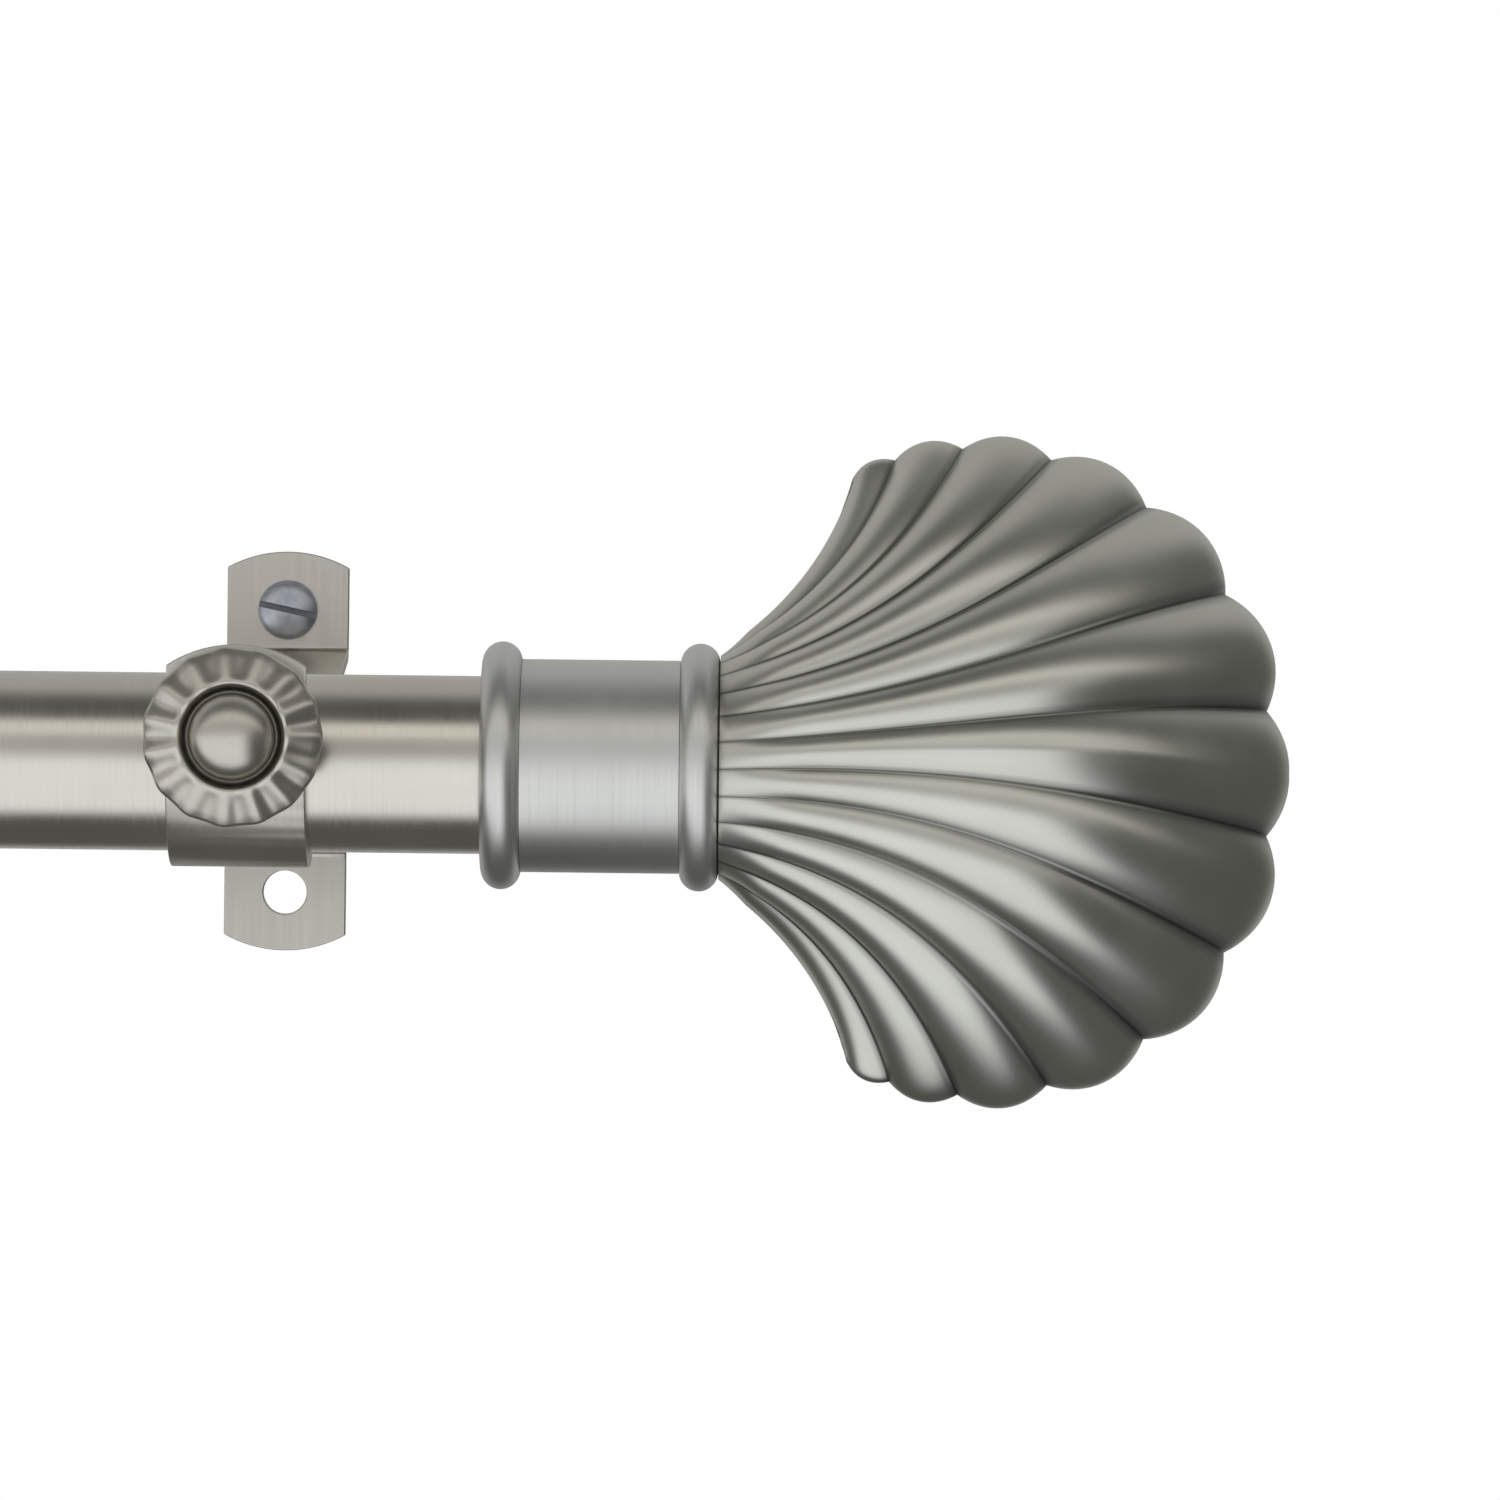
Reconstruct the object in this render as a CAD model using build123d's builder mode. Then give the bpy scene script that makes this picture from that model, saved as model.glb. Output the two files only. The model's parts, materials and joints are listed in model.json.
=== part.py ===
"""A telescoping curtain rod with two adjustable wall brackets and two shell finials.

Frame: X runs along the rod, +Y goes into the wall, +Z is up. Y = 0 is the wall's face, Z = 0 is the
height of the rod's axis, and X = 0 is midway between the two brackets with the rod closed.
"""

from build123d import *
from math import cos, hypot, pi, radians, sin, sqrt
import os

os.makedirs("parts", exist_ok=True)

# Rod
closed_length = 711.0
outer_radius = 10.3
inner_radius = 9.2
tube_wall = 0.8
projection = 89.0
outer_mouth_x = -270.0
inner_tail_x = 298.0
guide_width = 9.0
guide_clearance = 0.05

# Steel strip that the brackets are bent from
strip = 1.5
hook_width = 16.0
base_width = 15.4
arm_rise = 1.3
rod_gap = 0.3
hook_top = 13.5
hook_end_radius = 14.3
arm_tail_y = -32.0

# Wall strips, measured from the arm's height
fold_height = 13.1
base_height = 25.3
base_end_radius = 15.8
wall_hole_height = 17.9
wall_hole_radius = 2.75
bend_radius = 2.2
leg_end_y = -57.0
base_front_y = -74.0
sandwich_gap = 0.1

# Fasteners on the arm
lock_y = -62.3
rivet_y = -70.4
screw_radius = 2.0
slot_radius = 2.25
travel = 25.4
lock_head_radius = 3.6
lock_head_height = 2.4
nut_flats = 7.0
nut_height = 2.6
rivet_head_radius = 3.4
rivet_head_height = 1.1

# Thumb screw and its rosette knob
knob_height = 2.9
knob_standoff = 3.2
thread_gap = 0.05
tip_radius = 1.5
tip_length = 1.6
petals = 15
rosette_radius = 10.3
rosette_depth = 2.8
rosette_sheet = 1.0
crater_radius = 6.0
cap_radius = 4.75
cap_ring_radius = 5.3
cap_height = 4.2

# Wall screw
wall_screw_radius = 2.1
wall_screw_length = 34.0
wall_screw_head_radius = 3.75
wall_screw_head_height = 2.3
wall_screw_slot_angle = -12.0

# Finial, measured from its inner end
finial_offset = 27.8
bead_width = 4.6
bead_radius = 14.35
collar_radius = 12.33
collar_wall = 1.0
collar_end = 22.9
neck_start = 27.5
neck_radius = 12.95
tube_insertion = 20.8
stud_radius = 3.0
stud_length = 22.0
grub_radius = 1.9
grub_offset = 13.7

# Shell of the finial: a fan of ribs on a bulging body
rib_count = 13
fan_centre = 55.0
fan_angle = 110.2
fan_evenness = 0.38
fan_radius = 36.1
fan_swell = 1.8
leave_angle = 33.0
leave_reach = 0.42
arrive_angle = 74.0
arrive_reach = 0.32
belly_rise = 44.9
belly_fall = 45.6
rib_height = 0.165
rib_start = 0.08
rib_steps = 4
shell_stages = 12
finial_roll = 6.2

bracket_x = closed_length / 2 - tube_insertion - finial_offset
rod_end_x = closed_length / 2


def save(piece, name):
    """Labels one finished piece and writes its file."""
    piece.part.label = name
    export_step(piece.part, f"parts/{name}.step")


def across(x):
    """The plane across the rod at x: its first axis is Y and its second is Z."""
    return Plane.YZ.offset(x)


def facing(y):
    """The upright plane at depth y that faces the room: its first axis is X, its second is Z."""
    return Plane.XZ.offset(-y)


def turned(points, x, z):
    """Revolves an outline of (radius, y) points about the line at x, z that runs into the wall."""
    with BuildSketch(Plane((x, 0, z), x_dir=(1, 0, 0), z_dir=(0, 0, 1))) as outline:
        with BuildLine():
            Polyline(*points, close=True)
        make_face()
    revolve(outline.sketch, axis=Axis((x, 0, z), (0, 1, 0)))


# Rod: an outer tube with a rolled-in mouth, and an inner tube that slides in it
def outer_tube():
    bore = outer_radius - tube_wall
    mouth = inner_radius + 0.15
    with BuildPart() as tube:
        with BuildSketch(Plane.XZ):
            with BuildLine():
                Polyline(
                    (outer_mouth_x, mouth),
                    (outer_mouth_x, outer_radius - 0.5),
                    (outer_mouth_x + 0.5, outer_radius),
                    (rod_end_x, outer_radius),
                    (rod_end_x, bore),
                    (outer_mouth_x + 3.0, bore),
                    (outer_mouth_x + 2.0, mouth),
                    close=True,
                )
            make_face()
        revolve(axis=Axis.X)
    tube.part = tube.part.moved(Location((0, -projection, 0)))
    return tube


def inner_tube():
    with BuildPart() as tube:
        with BuildSketch(across(-rod_end_x)):
            with Locations((-projection, 0)):
                Circle(inner_radius)
                Circle(inner_radius - tube_wall, mode=Mode.SUBTRACT)
        extrude(amount=inner_tail_x + rod_end_x)
    return tube


def guide_ring():
    """A nylon plug in the inner tube's hidden end, with a flange that runs in the outer tube."""
    flange = outer_radius - tube_wall - guide_clearance
    with BuildPart() as ring:
        with BuildSketch(across(inner_tail_x)):
            with Locations((-projection, 0)):
                Circle(flange)
                Circle(inner_radius - tube_wall - 1.6, mode=Mode.SUBTRACT)
        extrude(amount=guide_width / 3)
        with BuildSketch(across(inner_tail_x)):
            with Locations((-projection, 0)):
                Circle(inner_radius - tube_wall)
                Circle(inner_radius - tube_wall - 1.6, mode=Mode.SUBTRACT)
        extrude(amount=-guide_width)
    return ring


# Bracket: two wall strips that close on the slotted arm of a hook
def trim_round_end(x, y, apex_z, up, width, radius):
    """Cuts the corners off a strip's upright end, to leave an arc that peaks at apex_z."""
    with BuildSketch(facing(y)) as corners:
        with Locations((x, apex_z - up * radius / 2)):
            Rectangle(width + 1, radius)
        with Locations((x, apex_z - up * radius)):
            Circle(radius, mode=Mode.SUBTRACT)
    extrude(corners.sketch, amount=strip * 1.5, both=True, mode=Mode.SUBTRACT)


def wall_strip(x, lift, up):
    """One wall strip: an upright flange, a leg that slopes in, and a short level nose. up is 1 or -1."""
    arm_z = lift + arm_rise
    nose = strip / 2 + sandwich_gap
    with BuildPart() as piece:
        with BuildSketch(across(x)):
            with BuildLine():
                FilletPolyline(
                    (0, arm_z + up * base_height),
                    (0, arm_z + up * (fold_height - strip)),
                    (leg_end_y, arm_z + up * nose),
                    (base_front_y, arm_z + up * nose),
                    radius=(bend_radius, 12.0),
                )
                offset(amount=strip, side=Side.RIGHT if up > 0 else Side.LEFT)
            make_face()
        extrude(amount=base_width / 2, both=True)
        trim_round_end(x, 0, arm_z + up * base_height, up, base_width, base_end_radius)
        with BuildSketch(facing(0)):
            with Locations((x, arm_z + up * wall_hole_height)):
                Circle(wall_hole_radius)
        extrude(amount=strip * 2, both=True, mode=Mode.SUBTRACT)
        with BuildSketch(Plane.XY.offset(arm_z)):
            with Locations((x, lock_y), (x, rivet_y)):
                Circle(screw_radius + thread_gap)
        extrude(amount=up * strip * 3, mode=Mode.SUBTRACT)
    return piece


def hook(x, lift):
    """The slotted arm, the cup under the rod and the upright front that the thumb screw goes through."""
    inside = outer_radius + rod_gap
    arm_z = lift + arm_rise
    bend = arm_rise + strip / 2
    front_y = -projection - inside
    with BuildPart() as piece:
        with BuildSketch(across(x)):
            with BuildLine():
                top = Line((arm_tail_y, lift + bend), (-projection + inside + bend, lift + bend))
                JernArc(start=top @ 1, tangent=top % 1, radius=bend, arc_size=90)
                CenterArc((-projection, lift), inside, 0, -180)
                Line((front_y, lift), (front_y, lift + hook_top))
                offset(amount=strip, side=Side.LEFT)
            make_face()
        extrude(amount=hook_width / 2, both=True)
        trim_round_end(x, front_y - strip / 2, lift + hook_top, 1, hook_width, hook_end_radius)
        with BuildSketch(facing(front_y)):
            with Locations((x, lift + knob_height)):
                Circle(screw_radius + 1.3)
        extrude(amount=strip + 1.0)
        with BuildSketch(facing(front_y + 1)):
            with Locations((x, lift + knob_height)):
                Circle(screw_radius + thread_gap)
        extrude(amount=strip + 3.0, mode=Mode.SUBTRACT)
        slot_front = rivet_y - slot_radius
        slot_back = lock_y + travel + slot_radius
        with BuildSketch(Plane.XY.offset(arm_z)):
            with Locations((x, (slot_front + slot_back) / 2)):
                SlotOverall(slot_back - slot_front + 0.6, 2 * slot_radius, rotation=90)
        extrude(amount=strip, both=True, mode=Mode.SUBTRACT)
    return piece


def guide_rivet(x, lift):
    """A rivet that keeps the two wall strips together and lets the slotted arm slide on its body."""
    arm_z = lift + arm_rise
    half = strip * 1.5 + sandwich_gap
    with BuildPart() as piece:
        with BuildSketch(Plane.XY.offset(arm_z)):
            with Locations((x, rivet_y)):
                Circle(screw_radius)
        extrude(amount=half, both=True)
        for side in (1, -1):
            with BuildSketch(Plane.XY.offset(arm_z + side * half)):
                with Locations((x, rivet_y)):
                    Circle(rivet_head_radius)
            extrude(amount=side * rivet_head_height)
        rims = piece.edges().filter_by(GeomType.CIRCLE).sort_by(Axis.Z)
        fillet([rims[0], rims[-1]], rivet_head_height * 0.7)
    return piece


def lock_screw(x, lift):
    """The screw that clamps the arm, with a slotted cheese head above and its end below the nut."""
    arm_z = lift + arm_rise
    half = strip * 1.5 + sandwich_gap
    tail = half + nut_height + 3.4
    with BuildPart() as piece:
        with BuildSketch(Plane.XY.offset(arm_z + half)):
            with Locations((x, lock_y)):
                Circle(lock_head_radius)
        extrude(amount=lock_head_height)
        fillet(piece.edges().filter_by(GeomType.CIRCLE).sort_by(Axis.Z)[-1], 0.6)
        with BuildSketch(Plane.XY.offset(arm_z + half)):
            with Locations((x, lock_y)):
                Circle(screw_radius)
        extrude(amount=-half - tail)
        chamfer(piece.edges().filter_by(GeomType.CIRCLE).sort_by(Axis.Z)[0], 0.5)
        with BuildSketch(Plane.XY.offset(arm_z + half + lock_head_height)):
            with Locations((x, lock_y)):
                Rectangle(2 * lock_head_radius + 1, 1.0, rotation=35)
        extrude(amount=-1.1, mode=Mode.SUBTRACT)
    return piece


def lock_nut(x, lift):
    top = lift + arm_rise - strip * 1.5 - sandwich_gap
    with BuildPart() as piece:
        with BuildSketch(Plane.XY.offset(top)):
            with Locations((x, lock_y)):
                RegularPolygon(nut_flats / 2, 6, major_radius=False)
                Circle(screw_radius + thread_gap, mode=Mode.SUBTRACT)
        extrude(amount=-nut_height)
    return piece


def wall_screw(x, lift):
    """A slotted round-head wood screw, with a shoulder that centres it in the upper flange."""
    z = lift + arm_rise + wall_hole_height
    seat = -strip
    crown = seat - wall_screw_head_height
    with BuildPart() as piece:
        with BuildSketch(Plane((x, 0, z), x_dir=(1, 0, 0), z_dir=(0, 0, 1))):
            with BuildLine():
                dome = ThreePointArc((0, crown), (2.55, crown + 0.62), (wall_screw_head_radius, seat - 0.5))
                Polyline(
                    dome @ 1,
                    (wall_screw_head_radius, seat),
                    (wall_screw_radius + 0.4, seat),
                    (wall_screw_radius + 0.4, 0),
                    (wall_screw_radius, 0),
                    (wall_screw_radius, wall_screw_length - 8),
                    (0, wall_screw_length),
                    dome @ 0,
                )
            make_face()
        revolve(axis=Axis((x, 0, z), (0, 1, 0)))
        with BuildSketch(facing(crown - 0.2)):
            with Locations((x, z)):
                Rectangle(2 * wall_screw_head_radius + 1, 1.0, rotation=wall_screw_slot_angle)
        extrude(amount=-1.3, mode=Mode.SUBTRACT)
    return piece


# Thumb screw: a nylon tip, a steel stem, a pressed rosette and a domed cap
def tip_end_y(radius, lift):
    """Where the nylon tip ends, just clear of a tube of this radius."""
    nearest = lift + knob_height - tip_radius
    return -projection - sqrt(radius**2 - nearest**2) - 0.15


def knob_back_y(tip_y):
    """The plane of the rosette's rim."""
    return tip_y - tip_length - strip - knob_standoff


def thumb_tip(x, lift, tip_y):
    with BuildPart() as piece:
        with BuildSketch(facing(tip_y)):
            with Locations((x, lift + knob_height)):
                Circle(tip_radius)
        extrude(amount=tip_length)
    return piece


def thumb_stem(x, lift, tip_y):
    """The screw's threaded stem, with the flange that the rosette is pressed on."""
    back = knob_back_y(tip_y)
    start = tip_y - tip_length
    with BuildPart() as piece:
        turned(
            [
                (0, start),
                (screw_radius, start),
                (screw_radius, back + 0.6),
                (4.0, back + 0.6),
                (4.0, back - 0.6),
                (1.4, back - 0.6),
                (1.4, back - rosette_depth),
                (0, back - rosette_depth),
            ],
            x,
            lift + knob_height,
        )
    return piece


def rosette(x, lift, tip_y):
    """The pressed disc: fluted petals that slope back to the rim, round a crater for the cap."""
    back = knob_back_y(tip_y)
    z = lift + knob_height
    with BuildPart() as piece:
        turned(
            [
                (1.4, back - 0.6),
                (crater_radius + 0.5, back - 0.6),
                (crater_radius + 0.95, back - rosette_depth + 1.3 * rosette_sheet),
                (rosette_radius - 0.7, back),
                (rosette_radius, back - 0.3),
                (rosette_radius, back - rosette_sheet),
                (crater_radius + 0.9, back - rosette_depth),
                (crater_radius, back - rosette_depth),
                (crater_radius - 0.5, back - 0.6 - rosette_sheet),
                (1.4, back - 0.6 - rosette_sheet),
            ],
            x,
            z,
        )
        slope = Plane(
            origin=(x, back - rosette_sheet, z),
            x_dir=(1, 0, 0),
            z_dir=(0, -1, 0),
        )
        with BuildSketch(slope):
            with PolarLocations(rosette_radius + 0.25, petals):
                Circle(0.55)
        extrude(amount=rosette_sheet * 2, both=True, mode=Mode.SUBTRACT)
    return piece


def thumb_cap(x, lift, tip_y):
    """The domed cap in the rosette's crater, with a thin ring round its foot."""
    foot = knob_back_y(tip_y) - 0.6 - rosette_sheet
    crown = foot - cap_height
    stem_end = knob_back_y(tip_y) - rosette_depth
    with BuildPart() as piece:
        with BuildSketch(Plane((x, 0, lift + knob_height), x_dir=(1, 0, 0), z_dir=(0, 0, 1))):
            with BuildLine():
                dome = ThreePointArc((0, crown), (cap_radius * 0.72, foot - 2.9), (cap_radius, foot - 0.8))
                Polyline(
                    dome @ 1,
                    (cap_ring_radius, foot - 0.8),
                    (cap_ring_radius, foot),
                    (1.4, foot),
                    (1.4, stem_end),
                    (0, stem_end),
                    dome @ 0,
                )
            make_face()
        revolve(axis=Axis((x, 0, lift + knob_height), (0, 1, 0)))
    return piece


# Finial: an adaptor sleeve, a beaded collar with its grub screw, and a shell on a stud
def end_axis():
    return Axis((0, -projection, 0), (1, 0, 0))


def end_profile(side):
    """The level plane through the rod's axis whose first axis points out past the rod's end on that side."""
    start = side * (bracket_x + finial_offset)
    return Plane((start, -projection, 0), x_dir=(side, 0, 0), z_dir=(0, 0, 1))


def finial_sleeve(side, tube_radius):
    """A plastic sleeve that takes up the space between a tube's end and the collar."""
    inside = tube_radius + 0.05
    outside = collar_radius - collar_wall - 0.05
    with BuildPart() as piece:
        with BuildSketch(end_profile(side)):
            with BuildLine():
                Polyline(
                    (0.4, inside),
                    (0.4, outside),
                    (collar_end - 0.2, outside),
                    (collar_end - 0.2, 4.0),
                    (collar_end - 1.6, 4.0),
                    (collar_end - 1.6, inside),
                    close=True,
                )
            make_face()
        revolve(axis=end_axis())
    return piece


def finial_collar(side):
    """The collar: a cylinder between two round beads, with an end wall that holds the stud."""
    inside = collar_radius - collar_wall
    mid_bead = bead_width / 2
    crown = bead_radius
    step = collar_radius - 0.25
    with BuildPart() as piece:
        with BuildSketch(end_profile(side)):
            with BuildLine():
                Line((0, inside), (0, step))
                ThreePointArc((0, step), (mid_bead, crown), (bead_width, step))
                Polyline((bead_width, step), (bead_width, collar_radius), (collar_end, collar_radius))
                Line((collar_end, collar_radius), (collar_end, step))
                ThreePointArc((collar_end, step), (collar_end + mid_bead, crown), (neck_start, step))
                Polyline(
                    (neck_start, step),
                    (neck_start, stud_radius),
                    (collar_end, stud_radius),
                    (collar_end, inside),
                    (0, inside),
                )
            make_face()
        revolve(axis=end_axis())
        with BuildSketch(facing(collar_radius + 1 - projection)):
            with Locations((side * (bracket_x + finial_offset + grub_offset), 0)):
                Circle(grub_radius)
        extrude(amount=4.0, mode=Mode.SUBTRACT)
    return piece


def finial_stud(side):
    with BuildPart() as piece:
        with BuildSketch(Plane.YZ.offset(side * (bracket_x + finial_offset + collar_end))):
            with Locations((-projection, 0)):
                Circle(stud_radius)
        extrude(amount=side * stud_length)
    return piece


def grub_screw(side):
    """A socket set screw in the side of the collar that faces the wall."""
    x = side * (bracket_x + finial_offset + grub_offset)
    head = facing(collar_radius + 0.6 - projection)
    with BuildPart() as piece:
        with BuildSketch(head):
            with Locations((x, 0)):
                Circle(grub_radius)
        extrude(amount=1.5)
        with BuildSketch(head):
            with Locations((x, 0)):
                RegularPolygon(0.85, 6)
        extrude(amount=1.0, mode=Mode.SUBTRACT)
    return piece


def fan_line(s, t):
    """A point in the shell's middle plane, (along, up): s goes across the fan from -1 to 1, t outwards."""
    side = 1 if s >= 0 else -1
    s = abs(s)
    across_fan = sin(pi / 2 * s)
    turn = radians(fan_angle) * (fan_evenness * s + (1 - fan_evenness) * across_fan)
    reach = fan_radius + fan_swell * sin(pi * s)
    start = (neck_start, neck_radius * across_fan)
    end = (fan_centre + reach * cos(turn), reach * sin(turn))
    chord = hypot(end[0] - start[0], end[1] - start[1])
    leave = radians(leave_angle) * s**1.5
    arrive = radians(arrive_angle) * across_fan**1.25
    out = (start[0] + leave_reach * chord * cos(leave), start[1] + leave_reach * chord * sin(leave))
    back = (end[0] - arrive_reach * chord * cos(arrive), end[1] - arrive_reach * chord * sin(arrive))
    weights = ((1 - t) ** 3, 3 * t * (1 - t) ** 2, 3 * t * t * (1 - t), t**3)
    corners = (start, out, back, end)
    along = sum(w * c[0] for w, c in zip(weights, corners))
    up = sum(w * c[1] for w, c in zip(weights, corners))
    return along, side * up


def shell_surface(s, t, front):
    """A point on the smooth body of the shell, (along, depth, up)."""
    along, up = fan_line(s, t)
    swell = (neck_radius + belly_rise * t - belly_fall * t * t) * sqrt(max(0.0, 1 - t**4))
    return Vector(along, front * swell * cos(pi / 2 * s), up)


def rib_crown(s):
    """How high a rib stands at s, from 0 in a valley to 1 on its crown."""
    place = s * rib_count / 2
    off_crown = 2 * (place - round(place))
    return 1 - off_crown * off_crown


def ribbed_point(s, stage, front):
    """A point on the ribbed shell. stage runs from 0 at the neck to 1 at the rim."""
    nudge = 0.001

    def body(a, b):
        return shell_surface(a, sin(pi / 2 * b), front)

    low_s, high_s = max(-1.0, s - nudge), min(1.0, s + nudge)
    low, high = max(0.0, stage - nudge), min(1.0, stage + nudge)
    along_s = (body(high_s, stage) - body(low_s, stage)) * (1 / (high_s - low_s))
    along_stage = (body(s, high) - body(s, low)) * (1 / (high - low))
    normal = along_stage.cross(along_s).normalized() * front
    if normal.dot(body(s, stage) - Vector(neck_start, 0, 0)) < 0:
        normal = normal * -1
    if stage == 1:
        normal = Vector(normal.X, 0, normal.Z).normalized()
    width = along_s.length * 2 / rib_count
    fade = min(1.0, stage / rib_start)
    return body(s, stage) + normal * (rib_height * width * rib_crown(s) * fade)


def finial_shell(side):
    """The shell: two ribbed faces that meet round the rim, closed at the neck, with a hole for the stud."""
    columns = [-1 + 2 * i / (rib_count * rib_steps) for i in range(rib_count * rib_steps + 1)]
    stages = [j / shell_stages for j in range(shell_stages + 1)]
    roll = radians(finial_roll)
    start = (side * (bracket_x + finial_offset), -projection, 0)
    fan = Plane(start, x_dir=(side, 0, 0), z_dir=(0, sin(roll), cos(roll)))
    grid = [[fan.from_local_coords(ribbed_point(s, stage, -1)) for s in columns] for stage in stages]
    ribs = Face.make_surface_from_array_of_points(grid, tol=0.05)
    neck_edge, *rim_edges = ribs.edges().sort_by(lambda e: abs(e.center().X))
    seam = Edge.make_line(neck_edge @ 0, neck_edge @ 1)
    middle = Face(Wire([*rim_edges, seam]))
    neck = Face(Wire([neck_edge, seam]))
    with BuildPart() as piece:
        add(Solid(Shell([ribs, middle, neck])))
        mirror(about=Plane(start, x_dir=fan.x_dir, z_dir=fan.y_dir))
        with BuildSketch(across(side * (bracket_x + finial_offset + neck_start))):
            with Locations((-projection, 0)):
                Circle(stud_radius + thread_gap)
        extrude(amount=side * (stud_length - bead_width + 0.5), mode=Mode.SUBTRACT)
    return piece


save(outer_tube(), "outer_tube")
save(inner_tube(), "inner_tube")
save(guide_ring(), "guide_ring")

for name, side, tube_radius in (("right", 1, outer_radius), ("left", -1, inner_radius)):
    x = side * bracket_x
    lift = outer_radius - tube_radius
    tip_y = tip_end_y(tube_radius, lift)
    save(wall_strip(x, lift, 1), f"{name}_upper_wall_strip")
    save(wall_strip(x, lift, -1), f"{name}_lower_wall_strip")
    save(wall_screw(x, lift), f"{name}_wall_screw")
    save(guide_rivet(x, lift), f"{name}_guide_rivet")
    save(lock_screw(x, lift), f"{name}_lock_screw")
    save(lock_nut(x, lift), f"{name}_lock_nut")
    save(hook(x, lift), f"{name}_hook")
    save(thumb_tip(x, lift, tip_y), f"{name}_thumb_tip")
    save(thumb_stem(x, lift, tip_y), f"{name}_thumb_stem")
    save(rosette(x, lift, tip_y), f"{name}_rosette")
    save(thumb_cap(x, lift, tip_y), f"{name}_thumb_cap")
    save(finial_sleeve(side, tube_radius), f"{name}_finial_sleeve")
    save(finial_collar(side), f"{name}_finial_collar")
    save(finial_stud(side), f"{name}_finial_stud")
    save(grub_screw(side), f"{name}_grub_screw")
    save(finial_shell(side), f"{name}_finial_shell")
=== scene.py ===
"""Looks for a telescoping curtain rod: two wall brackets with rosette thumb screws and two shell finials."""

import json
from math import cos, hypot, pi, radians, sin, sqrt

import bmesh
import bpy
from mathutils import Matrix, Vector

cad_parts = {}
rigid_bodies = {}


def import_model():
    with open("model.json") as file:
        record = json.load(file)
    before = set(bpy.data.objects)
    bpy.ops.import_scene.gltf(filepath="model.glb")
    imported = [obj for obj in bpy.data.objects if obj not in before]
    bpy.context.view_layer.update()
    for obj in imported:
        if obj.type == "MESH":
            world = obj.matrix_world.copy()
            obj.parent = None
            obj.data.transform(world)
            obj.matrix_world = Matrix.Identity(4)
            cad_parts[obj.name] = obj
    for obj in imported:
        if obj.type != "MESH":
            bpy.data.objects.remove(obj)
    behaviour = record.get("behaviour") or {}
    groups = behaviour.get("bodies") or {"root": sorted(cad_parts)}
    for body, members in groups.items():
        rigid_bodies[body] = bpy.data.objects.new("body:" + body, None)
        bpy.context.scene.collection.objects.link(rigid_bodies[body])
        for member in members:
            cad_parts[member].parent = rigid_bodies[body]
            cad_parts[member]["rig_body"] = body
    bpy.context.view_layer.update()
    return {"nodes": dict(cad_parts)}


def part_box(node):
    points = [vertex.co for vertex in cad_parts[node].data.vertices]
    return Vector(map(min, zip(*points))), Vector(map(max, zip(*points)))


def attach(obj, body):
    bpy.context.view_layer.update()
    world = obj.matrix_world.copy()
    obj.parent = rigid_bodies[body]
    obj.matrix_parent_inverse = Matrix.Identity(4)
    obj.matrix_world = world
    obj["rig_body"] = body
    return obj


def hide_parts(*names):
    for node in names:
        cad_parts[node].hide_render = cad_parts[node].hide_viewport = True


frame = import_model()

MM = 0.001
SIDES = (("right", 1), ("left", -1))
# Where a turned profile stops short of its axis
AXIS_GAP = 0.02 * MM


# Places on the frame
def middle(node):
    """The middle of a node's box."""
    low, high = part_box(node)
    return (low + high) / 2


def half_width(node):
    """Half of what a node measures along the rod."""
    low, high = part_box(node)
    return (high.x - low.x) / 2


rod_axis_y = middle("outer_tube").y


# Meshes
def mesh_piece(name, points, faces, material, sharp_above=35):
    """A smooth-shaded mesh object with creases where its faces meet at more than sharp_above degrees."""
    mesh = bpy.data.meshes.new(name)
    mesh.from_pydata([tuple(p) for p in points], [], faces)
    mesh.materials.append(material)
    mesh.polygons.foreach_set("use_smooth", [True] * len(mesh.polygons))
    mesh.set_sharp_from_angle(angle=radians(sharp_above))
    piece = bpy.data.objects.new(name, mesh)
    bpy.context.scene.collection.objects.link(piece)
    return piece


def ring_faces(rings, count, first=0):
    """Quads between rings of count points each, every ring closed on itself."""
    faces = []
    for ring in range(rings - 1):
        low = first + ring * count
        high = low + count
        for i in range(count):
            j = (i + 1) % count
            faces.append((low + i, low + j, high + j, high + i))
    return faces


def turned_points(profile, count, along, across, up, centre, shape=None):
    """Rings of points round the line through centre along a direction.

    profile lists (radius, distance) pairs. shape(radius, distance, angle) may return a changed pair.
    """
    points = []
    for radius, distance in profile:
        for i in range(count):
            angle = 2 * pi * i / count
            r, d = shape(radius, distance, angle) if shape else (radius, distance)
            points.append(centre + along * d + across * (r * cos(angle)) + up * (r * sin(angle)))
    return points


def turned_piece(name, profile, centre, along, material, count=96, shape=None, sharp_above=35):
    """A closed solid of revolution, with a cap on each end unless the profile returns to its first point."""
    up = Vector((0, 0, 1)) if abs(along.z) < 0.5 else Vector((0, 1, 0))
    across = up.cross(along)
    points = turned_points(profile, count, along, across, up, centre, shape)
    faces = ring_faces(len(profile), count)
    if profile[0] != profile[-1]:
        faces.append(tuple(reversed(range(count))))
        last = (len(profile) - 1) * count
        faces.append(tuple(range(last, last + count)))
    piece = mesh_piece(name, points, faces, material, sharp_above)
    tidy_mesh(piece.data)
    return piece


def tidy_mesh(mesh):
    """Joins points that coincide and turns every face outwards."""
    work = bmesh.new()
    work.from_mesh(mesh)
    bmesh.ops.remove_doubles(work, verts=work.verts, dist=1e-7)
    bmesh.ops.recalc_face_normals(work, faces=work.faces)
    work.to_mesh(mesh)
    work.free()


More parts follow.
